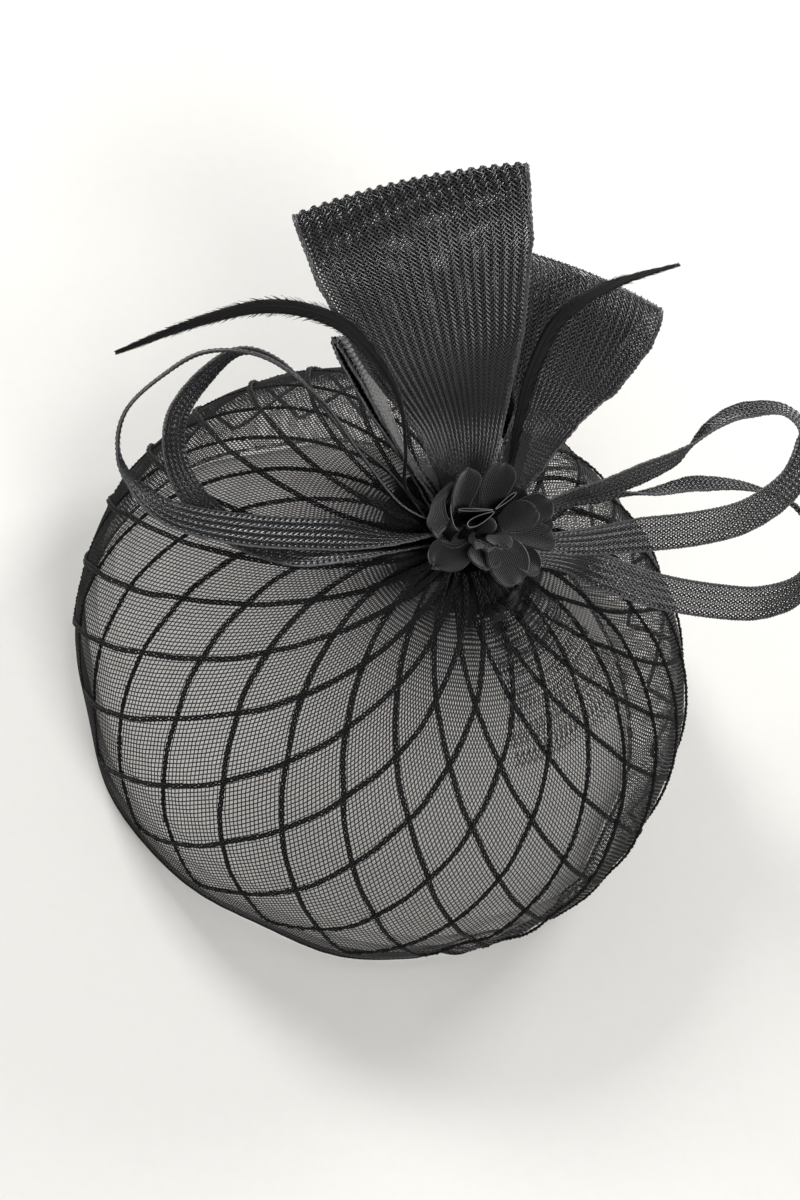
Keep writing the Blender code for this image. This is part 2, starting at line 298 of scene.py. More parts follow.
# The satin's edge: a thin thread in pale grey on the black satin, a painted highlight for the glint along its
# fold, which shows as a thin bright line.
SATIN_EDGE_HIGHLIGHT = Finish("pale grey painted highlight of satin edge", "satin", "#58585b", "#747478", 0.3, 0.5, 0.01, specular=0.8)
# Dyed goose biot: matt, with a faint sheen on the barbs.
FEATHER = Finish(
    "black dyed goose feather", "feather", "#050506", "#0d0d0e", 0.65, 0.4, 0.03, sheen=0.1, specular=0.2
)
# Lacquered spring steel of the clip.
LACQUER = Finish("black lacquered steel", "clip_lacquer", "#0a0a0b", "#101011", 0.3, 3.0, 0.01, coat=0.6)
# Matt studio paper.
PAPER = Finish("pale studio paper", "", "#d9d7d3", "#dedcd8", 0.9, 6.0, 0.02, specular=0.2)


@dataclass
class Bench:
    """Sets finished meshes down in the CAD's frame."""

    shift: Vector
    materials: dict[str, bpy.types.Material] = field(default_factory=dict)

    @classmethod
    def on_binding(cls) -> "Bench":
        """The brim's axis runs through the middle of the binding."""
        low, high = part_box("binding")
        return cls(Vector(((low.x + high.x) / 2, (low.y + high.y) / 2, 0.0)))

    def material(self, finish: Finish) -> bpy.types.Material:
        """The Blender material of a finish, made once."""
        if finish.name not in self.materials:
            self.materials[finish.name] = finish.build()
        return self.materials[finish.name]

    def set_down(
        self, name: str, mesh: bpy.types.Mesh, finish: Finish, nodes: Iterable[str] = (), smooth: bool = True
    ) -> bpy.types.Object:
        """Places a mesh in metres, makes it ride and hides the CAD nodes that it replaces.

        Args:
            name: The piece's name.
            mesh: Its mesh, in millimetres about the brim's axis.
            finish: What it is made of.
            nodes: The CAD nodes that it replaces.
            smooth: Whether its faces are shaded smooth.

        Returns:
            The piece.
        """
        mesh.transform(Matrix.Translation(self.shift) @ Matrix.Scale(MM, 4))
        if smooth:
            mesh.shade_smooth()
        mesh.materials.clear()
        mesh.materials.append(self.material(finish))
        piece = link(name, mesh)
        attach(piece, BODY)
        for node in nodes:
            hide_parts(node)
        mesh.calc_loop_triangles()
        LOG.info("%s: %d triangles", name, len(mesh.loop_triangles))
        return piece


def lay_threads(
    name: str, paths: Sequence[Array], radius: float, section: Section,
    tapers: Sequence[Array] | None = None, closed: bool = False,
) -> bpy.types.Mesh:
    """Sweeps a thread's cross-section along many paths.

    Args:
        name: Name of the mesh.
        paths: Arrays of points in millimetres.
        radius: The thread's radius.
        section: Its cross-section.
        tapers: Share of the radius at each point, for each path.
        closed: Whether the paths are rings.

    Returns:
        One mesh of all the threads.
    """
    outline = bpy.data.curves.new(name + "_outline", "CURVE")
    ring = outline.splines.new("POLY")
    ring.points.add(section.value - 1)
    for i, point in enumerate(ring.points):
        turn = math.tau * i / section.value
        point.co = (radius * math.cos(turn), radius * math.sin(turn), 0.0, 1.0)
    ring.use_cyclic_u = True
    outline_object = link(name + "_outline", outline)
    curve = bpy.data.curves.new(name + "_paths", "CURVE")
    curve.dimensions = "3D"
    curve.bevel_mode = "OBJECT"
    curve.bevel_object = outline_object
    curve.use_fill_caps = not closed
    for index, path in enumerate(paths):
        spline = curve.splines.new("POLY")
        spline.points.add(len(path) - 1)
        spline.points.foreach_set("co", np.hstack([path, np.ones((len(path), 1))]).ravel())
        spline.use_cyclic_u = closed
        if tapers is not None:
            spline.points.foreach_set("radius", tapers[index])
    swept = link(name + "_paths", curve)
    graph = bpy.context.evaluated_depsgraph_get()
    mesh = bpy.data.meshes.new_from_object(swept.evaluated_get(graph))
    for helper, data in ((swept, curve), (outline_object, outline)):
        bpy.data.objects.remove(helper, do_unlink=True)
        bpy.data.curves.remove(data)
    mesh.name = name
    build = bmesh.new()
    build.from_mesh(mesh)
    bmesh.ops.remove_doubles(build, verts=build.verts, dist=THREAD_WELD)
    bmesh.ops.recalc_face_normals(build, faces=build.faces)
    build.to_mesh(mesh)
    build.free()
    return mesh


def unit(vectors: Array) -> Array:
    """The vectors with a length of 1."""
    return vectors / np.maximum(np.linalg.norm(vectors, axis=-1, keepdims=True), 1e-9)


def apart(heading: Array, other: float) -> Array:
    """How far headings lie from another one, from -180 to 180 degrees."""
    return np.mod(heading - other + 180, 360) - 180


def braid_yarns(
    line: Array, normals: Array, half: float, lift: float, period: float
) -> list[Array]:
    """Lays three yarns over each other along a line.

    Args:
        line: Points of the braid's middle.
        normals: Direction out of the surface at each point.
        half: How far a yarn swings to each side.
        lift: How far it rises and dips.
        period: Length over which the braid repeats.

    Returns:
        The three yarns' points.
    """
    along = np.gradient(line, axis=0)
    aside = unit(np.cross(normals, along))
    run = np.concatenate([[0.0], np.cumsum(np.linalg.norm(np.diff(line, axis=0), axis=1))])
    yarns = []
    for strand in range(3):
        phase = math.tau * (run / period + strand / 3)
        swing, rise = half * np.sin(phase), lift * np.sin(2 * phase)
        yarns.append(line + aside * swing[:, None] + normals * rise[:, None])
    return yarns


@dataclass
class Band:
    """The middle surface of a ribbon, through rows of x, y, z, width and turn in degrees."""

    rows: Rows
    reference: Triple
    spacing: float = 1.0

    SAMPLES = 12

    def __post_init__(self) -> None:
        """Works out points, widths and directions every spacing along the middle line."""
        rows = np.array(self.rows, float)
        before = np.vstack([rows[:1], rows[:-2]])
        after = np.vstack([rows[2:], rows[-1:]])
        pieces = []
        share = np.linspace(0, 1, self.SAMPLES, endpoint=False)[:, None]
        for start, end, lead, trail in zip(rows[:-1], rows[1:], rows[1:] - before, after - rows[:-1]):
            curve = start * (2 * share**3 - 3 * share**2 + 1) + end * (3 * share**2 - 2 * share**3)
            curve = curve + lead / 2 * (share**3 - 2 * share**2 + share) + trail / 2 * (share**3 - share**2)
            curve[:, 3:] = start[3:] + (end[3:] - start[3:]) * share
            pieces.append(curve)
        fine = np.vstack([*pieces, rows[-1:]])
        run = np.concatenate([[0.0], np.cumsum(np.linalg.norm(np.diff(fine[:, :3], axis=0), axis=1))])
        self.length = float(run[-1])
        self.runs = np.linspace(0, self.length, max(8, round(self.length / self.spacing)))
        table = np.stack([np.interp(self.runs, run, fine[:, k]) for k in range(5)], axis=1)
        self.middle, self.width = table[:, :3], table[:, 3]
        along = unit(np.gradient(self.middle, axis=0))
        side = np.array(self.reference, float)
        side = unit(side - along * (along @ side)[:, None])
        turn = np.radians(table[:, 4])[:, None]
        self.side = side * np.cos(turn) + np.cross(along, side) * np.sin(turn)
        self.face = np.cross(along, self.side)

    def read(self, values: Array, run: Array) -> Array:
        """Values of a table at places along the band."""
        return np.stack([np.interp(run, self.runs, values[:, k]) for k in range(values.shape[1])], axis=1)

    def at(self, run: Array, across: Array, lift: Array | float = 0.0) -> Array:
        """Points of the band.

        Args:
            run: Distances along the middle line.
            across: Shares of the width, from -0.5 to 0.5.
            lift: Heights over the surface.

        Returns:
            One point for each place.
        """
        width = np.interp(run, self.runs, self.width) * across
        raised = np.broadcast_to(lift, np.shape(run))
        return self.read(self.middle, run) + self.read(self.side, run) * width[:, None] + (
            self.read(self.face, run) * raised[:, None]
        )

    def edge(self, across: float, step: float) -> tuple[Array, Array]:
        """Points along one edge and the directions out of the surface there."""
        run = np.linspace(0, self.length, max(4, round(self.length / step)))
        return self.at(run, np.full(len(run), across)), self.read(self.face, run)


@dataclass
class CrinRibbon:
    """A braided crin ribbon: two crossing families of flat threads and a braided selvedge."""

    name: str
    rows: Rows
    reference: Triple
    full_width: float
    columns: float
    pitch: float
    thread: float
    swell: float
    steps: int
    selvedge: float
    angle: float = 32.0
    uneven: float = 0.04
    pinch: float = 0.88
    crown: Vector = field(default_factory=Vector)
    crown_reach: float = 20.0
    rib: float = 0.0
    rib_reach: float = 24.0

    NECK_SWELL = 0.35
    SELVEDGE_BRAID = (0.75, 0.45, 8.0)

    def place(self, band: Band, run: Array, across: Array, lift: Array) -> Array:
        """Points of the ribbon, with the crown and the ribs that its fold over the tip gives it."""
        from_tip = run - band.length / 2
        fade = np.exp(-((from_tip / self.rib_reach) ** 2))
        ribs = self.rib * fade * np.cos(math.tau * self.columns * across)
        bulge = np.exp(-((from_tip / self.crown_reach) ** 2)) * (1 - 4 * across**2)
        return band.at(run, across, lift + ribs) + bulge[:, None] * np.array(self.crown)

    def threads(self, band: Band, family: int) -> tuple[list[Array], list[Array]]:
        """Threads of one family from edge to edge, on top in every other column.

        Args:
            band: The ribbon's middle surface.
            family: 1 for threads that cross towards the far edge, -1 for the others.

        Returns:
            The threads' points and their share of the full thickness there.
        """
        crossing = self.full_width / math.tan(math.radians(self.angle))
        spacing = self.pitch / math.sin(math.radians(self.angle))
        rng = np.random.default_rng(round(band.length) + family)
        starts = np.arange(-crossing, band.length, spacing)
        paths, tapers = [], []
        for start in starts + self.uneven * spacing * rng.uniform(-1, 1, len(starts)):
            first = max(0.0, -start / crossing)
            last = min(1.0, (band.length - start) / crossing)
            count = math.ceil(self.steps * (last - first))
            if count < 2:
                continue
            share = np.linspace(first, last, count + 1)
            across = family * (share - 0.5)
            wave = np.cos(math.tau * self.columns * across)
            run = start + share * crossing
            narrow = np.interp(run, band.runs, band.width) / self.full_width
            swell = self.swell * (self.NECK_SWELL + (1 - self.NECK_SWELL) * narrow)
            paths.append(self.place(band, run, across, family * swell * wave))
            tapers.append(self.pinch + (1 - self.pinch) * np.abs(wave))
        return paths, tapers

    def selvedges(self, band: Band) -> list[Array]:
        """The two braided edges."""
        half, lift, period = (share * self.selvedge for share in self.SELVEDGE_BRAID)
        yarns = []
        for across in (-0.5, 0.5):
            line, normals = band.edge(across, self.selvedge * 2)
            yarns += braid_yarns(line, normals, half, lift, period)
        return yarns

    def build(self, bench: Bench) -> None:
        band = Band(self.rows, self.reference)
        for ending, family in (("_braid", 1), ("_braid_crossing", -1)):
            paths, tapers = self.threads(band, family)
            mesh = lay_threads(self.name, paths, self.thread / 2, Section.TRIANGLE, tapers)
            bench.set_down(self.name + ending, mesh, CRIN_NYLON, [self.name])
        mesh = lay_threads(self.name, self.selvedges(band), self.selvedge / 2, Section.SQUARE)
        # The selvedges are drawn in a lighter grey, a painted highlight.
        edges = bench.set_down(self.name + "_selvedge", mesh, CRIN_EDGE_PAINTED_SHINE)


@dataclass
class WideLoop:
    """A wide crin loop's sizes, as the CAD has them."""

    name: str
    heading: float
    reach: float
    root: Triple
    tip: Triple
    side: Triple
    neck: float
    width: float
    front: float
    back: float
    taper: float
    pitch: float = 1.1
    crown: float = 0.0
    rib: float = 0.5

    NECK_START = 10.2
    NECK_Z = (127.0, 124.8)
    NECK_LIFT = 0.3
    # The front layer has a lift of its own and leaves out LAYER's first row.
    FRONT_LIFT = 3.0
    COLUMN = 4.2
    COLUMN_STEPS = 4
    THREAD_SHARE = 0.83
    SWELL = 0.34
    SELVEDGE = 0.95
    ANGLE = 46.0
    LAYER = ((0.05, 0.12, 0.1), (0.2, 0.45, 0.35), (0.5, 0.9, 0.69), (0.8, 0.86, 0.92), (0.96, 0.48, 0.98))

    def rows(self) -> list[tuple[float, float, float, float, float]]:
        """Rows out along the front layer, over the tip and back along the other layer."""
        root, tip, side = Vector(self.root), Vector(self.tip), Vector(self.side)
        along = (tip - root).normalized()
        facing = (side - along * side.dot(along)).normalized().cross(along)
        heading = math.radians(self.heading)
        layers = []
        for swell, height in ((self.front, self.NECK_Z[0]), (-self.back, self.NECK_Z[1])):
            layer = []
            lift = self.FRONT_LIFT if swell > 0 else self.NECK_LIFT
            for radius, up, width in ((self.NECK_START, 0.0, self.neck - 1), (self.reach, lift, self.neck)):
                ahead, beside = radius * math.cos(heading), radius * math.sin(heading)
                layer.append((ahead, beside, height + up, width, 0.0))
            for share, out, growth in self.LAYER[1:] if swell > 0 else self.LAYER:
                at = root.lerp(tip, share) + facing * swell * out
                width = self.neck + (self.width - self.neck) * growth ** self.taper
                layer.append((at.x, at.y, at.z, width, 0.0))
            layers.append(layer)
        return layers[0] + [(*self.tip, self.width, 0.0)] + layers[1][::-1]

    def build(self, bench: Bench) -> None:
        """Makes the loop of wide crin."""
        columns = self.width / self.COLUMN
        out = (Vector(self.tip) - Vector(self.root)).normalized()
        CrinRibbon(
            self.name, self.rows(), self.side, self.width, columns=columns, pitch=self.pitch,
            thread=self.THREAD_SHARE * self.pitch, swell=self.SWELL, steps=round(self.COLUMN_STEPS * columns),
            selvedge=self.SELVEDGE, angle=self.ANGLE, crown=out * self.crown, rib=self.rib,
        ).build(bench)


@dataclass
class NetSurface:
    """The gathered dome that the net's threads lie on."""

    radius: float = 129.0
    widest_z: float = 37.0
    crown_rise: float = 83.0
    curl_drop: float = 133.0
    power: float = 1.904
    hole: float = 9.5
    rim_z: float = 0.6
    edge_angle: float = 39.6
    pleats: int = 16
    pleat_rise: float = 1.4
    pleat_end: float = 62.0
    wave: float = 1.1
    creases: tuple[float, ...] = (286.0, 295.5, 304.0, 318.0)

    # Count round the brim, phase and height of the small pleats and of the waves.
    FINE_PLEATS = (41, 1.3, 0.35)
    WAVES = ((5, 0.7, 1.0), (8, 2.0, 0.7), (13, 4.0, 0.5))
    PLEAT_SHIFT = 0.8
    PLEATS_WHOLE = 20.0
    WAVES_START = 0.62
    WAVES_GROW = 0.3
    CREASE_HALF = 2.6
    CREASE_DEPTH = 2.0

    def __post_init__(self) -> None:
        """Works out the profile and how far a thread has turned at each place along it."""
        first = math.asin((self.hole / self.radius) ** (self.power / 2))
        last = math.pi / 2 + math.asin(((self.widest_z - self.rim_z) / self.curl_drop) ** (self.power / 2))
        angle = np.linspace(first, last, 900)
        sine, cosine = np.sin(angle), np.cos(angle)
        drop = np.where(cosine >= 0, self.crown_rise, self.curl_drop)
        self.out = self.radius * sine ** (2 / self.power)
        self.high = self.widest_z + np.sign(cosine) * drop * np.abs(cosine) ** (2 / self.power)
        self.run = np.concatenate([[0.0], np.cumsum(np.hypot(np.diff(self.out), np.diff(self.high)))])
        self.length = float(self.run[-1])
        lean = np.arcsin(math.sin(math.radians(self.edge_angle)) * self.out / self.radius)
        rate = np.tan(lean) / self.out
        steps = np.diff(self.run) * (rate[1:] + rate[:-1]) / 2
        self.turned = np.degrees(np.concatenate([[0.0], np.cumsum(steps)]))
        slope = unit(np.stack([np.gradient(self.out, self.run), np.gradient(self.high, self.run)], axis=1))
        self.normal = np.stack([-slope[:, 1], slope[:, 0]], axis=1)

    def run_at_turn(self, degrees: float) -> float:
        """How far along the profile a thread has turned by so much."""
        return float(np.interp(degrees, self.turned, self.run))

    def turn_at(self, run: Array) -> Array:
        """How far a thread has turned by a place along the profile, in degrees."""
        return np.interp(run, self.run, self.turned)

    def relief(self, run: Array, heading: Array) -> Array:
        """How far the cloth stands out of the smooth dome, in pleats, waves and creases."""
        out = np.interp(run, self.run, self.out)
        round_it = np.radians(heading)
        fade = np.clip(1 - out / self.pleat_end, 0, 1) * np.clip(out / self.PLEATS_WHOLE, 0, 1)
        uneven = self.PLEAT_SHIFT * np.sin(2 * round_it + 0.5)
        pleat = 1 + np.cos(self.pleats * round_it + uneven)
        count, phase, rise = self.FINE_PLEATS
        fine = rise * (1 + np.cos(count * round_it + phase))
        low = np.clip((run - self.WAVES_START * self.length) / (self.WAVES_GROW * self.length), 0, 1)
        low = low * low * (3 - 2 * low)
        waves = sum(share * np.sin(count * round_it + phase) for count, phase, share in self.WAVES)
        crease = sum(np.exp(-(apart(heading, at) / self.CREASE_HALF) ** 2) for at in self.creases)
        gathered = self.pleat_rise * pleat + fine
        return fade * gathered + low * (self.wave * waves - self.CREASE_DEPTH * crease)

    def at(self, run: Array, heading: Array, lift: Array | float = 0.0) -> Array:
        """Points on the net, at distances along the profile and headings in degrees."""
        out, high = np.interp(run, self.run, self.out), np.interp(run, self.run, self.high)
        rise = self.relief(run, heading) + lift
        out = out + rise * np.interp(run, self.run, self.normal[:, 0])
        high = high + rise * np.interp(run, self.run, self.normal[:, 1])
        turn = np.radians(heading)
        return np.stack([out * np.cos(turn), out * np.sin(turn), high], axis=1)

    def normals(self, run: Array, heading: Array) -> Array:
        """Directions out of the dome."""
        out, high = np.interp(run, self.run, self.normal[:, 0]), np.interp(run, self.run, self.normal[:, 1])
        turn = np.radians(heading)
        return unit(np.stack([out * np.cos(turn), out * np.sin(turn), high], axis=1))


@dataclass
class NetBrim:
    """The brim: fine crossed threads, cords that turn back near the rim, and the net's edge."""

    surface: NetSurface = field(default_factory=NetSurface)
    fine: int = 375
    fine_thread: float = 0.42
    fine_steps: int = 18
    flat_width: float = 170.0
    flat_length: float = 785.0
    cords: int = 25
    first_turn: float = 265.8
    cord_turn: float = 57.7
    yarn: float = 0.86
    cord_half: float = 0.86
    cord_period: float = 7.5
    wander: float = 0.5
    edge_yarn: float = 0.55
    overlap_middle: float = 316.0
    overlap_half: float = 25.0
    overlap_every: int = 2
    overlap_wave: float = 8.5
    overlap_bunch: float = 1.15

    APART = 0.3
    CORD_STEP = 1.4
    CORD_BEND = 2.5
    CORD_RISE = 0.42
    CORD_SEED = 25
    # Middle height of a cord over the net, how far it rises from under to over, and along what length.
    CORD_HEIGHT = 0.5
    CORD_OVER = 0.45
    CORD_OVER_RUN = 12.0
    SWAY_START = 25.0
    SWAY_GROW = 40.0
    SWAY_RADIUS = 100.0
    # Length and share of the waves that a cord sways in.
    SWAYS = ((17.0, 1.0), (7.5, 0.6), (3.4, 0.4))
    # How far back from the rim each ring of the edge lies, and its height.
    EDGE_RINGS = ((0.2, 0.0), (1.0, 0.25), (1.9, -0.2))
    EDGE_STEPS = 540
    RIPPLE = 0.25
    RIPPLES = 90
    FRAY = 0.4
    FRAYS = (37, 11)
    OVERLAP_RUN = (16.0, 78.0)
    OVERLAP_STEPS = 56
    OVERLAP_SLANT = 0.12
    OVERLAP_LIFT = 1.8
    OVERLAP_APART = 0.1
    CRUMPLE = 0.4

    def fine_paths(self) -> list[Array]:
        """Both families of the fine net."""
        run = np.linspace(0, self.surface.length, self.fine_steps + 1)
        turned = self.surface.turn_at(run)
        paths = []
        for family in (1, -1):
            for i in range(self.fine):
                heading = 360.0 * i / self.fine + family * turned
                paths.append(self.surface.at(run, heading, family * self.fine_thread * self.APART))
        return paths

    def cord_paths(self) -> list[Array]:
        """The yarns of the cords, each down to its turn near the rim and back up."""
        reach = self.surface.run_at_turn(self.cord_turn)
        offset = np.linspace(-reach, reach, 2 * round(reach / self.CORD_STEP) + 1)
        run = np.maximum(reach + self.CORD_BEND - np.sqrt(offset**2 + self.CORD_BEND**2), 0.0)
        aside = np.sign(offset) * (self.cord_turn - self.surface.turn_at(reach - np.abs(offset)))
        lift = self.CORD_HEIGHT + self.CORD_OVER * np.clip(offset / self.CORD_OVER_RUN, -1, 1)
        rng = np.random.default_rng(self.CORD_SEED)
        yarns = []
        for n in range(self.cords):
            sway = self.wander * np.clip((run - self.SWAY_START) / self.SWAY_GROW, 0, 1) * sum(
                share * np.sin(offset / length + phase)
                for (length, share), phase in zip(self.SWAYS, rng.uniform(0, math.tau, len(self.SWAYS)))
            )
            heading = self.first_turn + 360.0 * n / self.cords + aside + np.degrees(sway / self.SWAY_RADIUS)
            line = self.surface.at(run, heading, lift)
            normals = self.surface.normals(run, heading)
            yarns += braid_yarns(line, normals, self.cord_half, self.CORD_RISE, self.cord_period)
        return yarns

    def edge_paths(self) -> list[Array]:
        """The braided selvedge at the rim."""
        heading = np.linspace(0, 360, self.EDGE_STEPS, endpoint=False)
        rings = []
        for back, lift in self.EDGE_RINGS:
            ripple = self.RIPPLE * np.sin(np.radians(heading * self.RIPPLES) + back * 3)
            often, seldom = (np.radians(heading * count) for count in self.FRAYS)
            ripple -= self.FRAY * np.abs(np.sin(often) * np.sin(seldom + back))
            run = np.full(len(heading), self.surface.length - back) + ripple - self.RIPPLE
            rings.append(self.surface.at(run, heading, lift))
        return rings

    def overlap_paths(self) -> list[Array]:
        """The crumpled second layer where the net's ends lap over each other."""
        run = np.linspace(*self.OVERLAP_RUN, self.OVERLAP_STEPS)
        turned = self.surface.turn_at(run + self.overlap_bunch * np.sin(run * math.tau / self.overlap_wave))
        paths = []
        for family in (1, -1):
            for i in range(0, self.fine, self.overlap_every):
                heading = 360.0 * i / self.fine + family * turned
                inside = np.abs(apart(heading, self.overlap_middle)) < self.overlap_half
                ends = np.flatnonzero(np.diff(np.concatenate([[0], inside.astype(int), [0]])))
                if len(ends) < 2 or ends[1] - ends[0] < 4:
                    continue
                part = slice(ends[0], ends[1])
                slant = run[part] + self.OVERLAP_SLANT * (heading[part] - self.overlap_middle)
                crumple = self.OVERLAP_LIFT + np.sin(slant * math.tau / self.overlap_wave)
                crumple = crumple + self.CRUMPLE * np.sin(slant * 1.2 + 1.0) + family * self.OVERLAP_APART
                paths.append(self.surface.at(run[part], heading[part], crumple))
        return paths

    def build(self, bench: Bench) -> None:
        """Makes the brim's pieces."""
        net = lay_threads("net", self.fine_paths(), self.fine_thread / 2, Section.SQUARE)
        cords = lay_threads("cords", self.cord_paths(), self.yarn / 2, Section.SQUARE)
        edge = lay_threads("edge", self.edge_paths(), self.edge_yarn / 2, Section.SQUARE, closed=True)
        overlap = lay_threads("overlap", self.overlap_paths(), self.fine_thread / 2.4, Section.TRIANGLE)
        cloth = bench.set_down("net_threads", net, NET_NYLON, ["net_brim"])
        worked_in = [
            bench.set_down("net_cords", cords, CORD_YARN),
            bench.set_down("net_edge", edge, CORD_YARN),
            bench.set_down("net_overlap", overlap, NET_NYLON),
        ]


def cloth_grid(
    steps: int, divisions: int, size: tuple[float, float], place: Callable[[float, float], Vector],
    wall: float,
) -> bpy.types.Mesh:
    """Bends a grid of cloth and gives it its thickness.

    Args:
        steps: Squares along it.
        divisions: Squares across it.
        size: Its length and width in millimetres, which scale its UV map.
        place: The point for a share along it and a share across it, from -0.5 to 0.5.
        wall: The cloth's thickness.

    Returns:
        The cloth's mesh.
    """
    build = bmesh.new()
    layer = build.loops.layers.uv.new("weave")
    bmesh.ops.create_grid(build, x_segments=steps, y_segments=divisions, size=0.5, calc_uvs=True)
    for face in build.faces:
        for loop in face.loops:
            loop[layer].uv = ((loop.vert.co.x + 0.5) * size[0] * MM, (loop.vert.co.y + 0.5) * size[1] * MM)
    for vert in build.verts:
        vert.co = place(vert.co.x + 0.5, vert.co.y)
    bmesh.ops.recalc_face_normals(build, faces=build.faces)
    bmesh.ops.solidify(build, geom=build.faces, thickness=wall)
    bmesh.ops.recalc_face_normals(build, faces=build.faces)
    return finished(build, "cloth")


EDGE_RADIUS = 0.15


def bright_edge(bench: Bench, name: str, points: list[Vector]) -> bpy.types.Object:
    """A thread of pale grey along a line of points, a painted highlight on the satin's edge."""
    return bench.set_down(
        name + "_edge", lay_threads(name, [np.array(points)], EDGE_RADIUS, Section.SQUARE), SATIN_EDGE_HIGHLIGHT
    )


@dataclass
class Petal:
    """A petal cut with a round end, bent upwards from its foot.

    Its centre line is an arc that leaves the flower's axis at the tilt and turns by the curl.
    """

    name: str
    node: str
    heading: float
    foot: float
    tilt: float
    length: float
    width: float
    curl: float = 10.0
    cup: float = 1.4
    ruffle: float = 0.35
    aside: float = 0.0

    AXIS = Vector((5.0, 0.0, 0.0))
    START = 4.6
    WAIST = 0.4
    WALL = 0.45
    CLOSER_AT_TIP = 1.6
    TIP_ROUND = 1.004
    RUFFLES = 8
    OUTLINE_SHARE = 0.8  # of width times length, which the round end leaves

    def point(self, step: float, across: float) -> Vector:
        """A point of the petal, before it is turned to its heading."""
        share = 1 - (1 - step) ** self.CLOSER_AT_TIP
        widest = 1 - self.width / 2 / self.length
        if share < widest:
            breadth = self.WAIST + (1 - self.WAIST) * math.sin(math.pi / 2 * share / widest)
        else:
            breadth = math.sqrt(max(0.0, 1 - ((share - widest) / (self.TIP_ROUND - widest)) ** 2))
        start, turn = math.radians(self.tilt), math.radians(self.curl)
        out = self.START + self.length * (math.sin(start + turn * share) - math.sin(start)) / turn
        high = self.length * (math.cos(start) - math.cos(start + turn * share)) / turn
        rise = self.cup * (2 * across * breadth) ** 2
        rise += self.ruffle * math.sin(self.RUFFLES * across + self.heading) * share * share
        lean = start + turn * share
        sideways = self.aside + across * breadth * self.width
        return Vector((out - rise * math.sin(lean), sideways, high + rise * math.cos(lean)))

    def build(self, bench: Bench) -> None:
        """Makes the petal as a small sheet of cloth."""
        mesh = cloth_grid(18, 16, (self.length, self.width), self.point, self.WALL)
        turn = Matrix.Rotation(math.radians(self.heading), 4, "Z")
        mesh.transform(Matrix.Translation(self.AXIS + Vector((0, 0, self.foot))) @ turn)
        piece = bench.set_down(self.name, mesh, FLOWER_CLOTH, [self.node])
        max(self.width, SHEET_LEAST) * MM


@dataclass
class StandingFold:
    """A strip of cloth that stands round the flower's axis and curls in at its ends."""

    name: str
    node: str
    first: float
    last: float
    low_radius: float
    top_radius: float
    foot: float
    rise: float
    curl_in: float
    ruffle: float = 0.3
    finish: Finish = FLOWER_CLOTH
    wall: float = 0.5

    STRAIGHT = 0.55
    BELLY = 0.9
    END_DROP = 0.22
    RUFFLES = (19, 23)

    def point(self, share: float, across: float) -> Vector:
        """A point of the strip."""
        turn = math.radians(self.first + (self.last - self.first) * share)
        up = across + 0.5
        end = max(0.0, abs(share - 0.5) * 2 - self.STRAIGHT) / (1 - self.STRAIGHT)
        belly = self.BELLY * math.sin(math.pi * up)
        radius = self.low_radius + (self.top_radius - self.low_radius) * up + belly - self.curl_in * end**2
        radius += self.ruffle * math.sin(self.RUFFLES[0] * share + 2 * up)
        high = self.foot + self.rise * up * (1 - self.END_DROP * end)
        high += self.ruffle * math.sin(self.RUFFLES[1] * share) * up
        return Petal.AXIS + Vector((radius * math.cos(turn), radius * math.sin(turn), high))

    def build(self, bench: Bench) -> None:
        """Makes the strip and, on satin, a thread of painted highlight along its top edge."""
        radius = (self.low_radius + self.top_radius) / 2
        length = math.radians(abs(self.last - self.first)) * radius + self.curl_in
        mesh = cloth_grid(36, 10, (length, self.rise), self.point, self.wall)
        piece = bench.set_down(self.name, mesh, self.finish, [self.node] if self.node else [])
        edge = []
        if self.finish is SATIN:
            top = [self.point(share, 0.5) for share in np.linspace(0, 1, 40)]
            edge = [bright_edge(bench, self.name, top)]
        max(SHEET_LEAST, self.rise) * MM


@dataclass
class SatinLoop:
    """A loop of satin ribbon that stands on its edge in the flower's middle."""

    name: str
    node: str
    heading: float
    length: float
    gap: float
    foot: float = 137.3
    width: float = 10.0
    lean: float = 0.0

    MIDDLE = (4.6, 1.6)
    START = 0.6
    NARROW = 0.35
    WALL = 0.28

    def point(self, share: float, across: float) -> Vector:
        """A point of the loop, which goes out and comes back beside itself."""
        turn = math.radians(self.heading)
        out = Vector((math.cos(turn), math.sin(turn), 0.0))
        aside = Vector((-math.sin(turn), math.cos(turn), 0.0))
        reach = self.length * (0.5 - 0.5 * math.cos(math.tau * share))
        open_by = self.NARROW + (1 - self.NARROW) * reach / self.length
        apart = self.gap / 2 * math.sin(math.tau * share) * open_by
        up = (across + 0.5) * self.width
        foot = Vector((*self.MIDDLE, self.foot + up))
        return foot + out * (self.START + reach) + aside * (apart + self.lean * up)

    def build(self, bench: Bench) -> None:
        """Makes the loop with a thread of painted highlight along its top edge."""
        mesh = cloth_grid(36, 5, (2 * self.length, self.width), self.point, self.WALL)
        piece = bench.set_down(self.name, mesh, SATIN, [self.node] if self.node else [])
        top = [self.point(share, 0.5) for share in np.linspace(0.02, 0.98, 44)]
        edge = bright_edge(bench, self.name, top)


@dataclass
class FlowerHeart:
    """The sewn middle that carries the petals, the folds and the satin loops."""

    foot: float = 131.3
    top: float = 142.0
    radius: float = 3.5

    def build(self, bench: Bench) -> None:
        """Turns the middle."""
        profile = (
            (0.0, self.top), (1.8, self.top - 0.3), (self.radius, self.top - 2.5),
            (self.radius - 0.4, self.foot + 5), (self.radius, self.foot), (0.0, self.foot),
        )
        mesh = turned("heart", profile, 28)
        mesh.transform(Matrix.Translation(Petal.AXIS))
        bench.set_down("flower_heart", mesh, FLOWER_CLOTH, ["flower_core"])


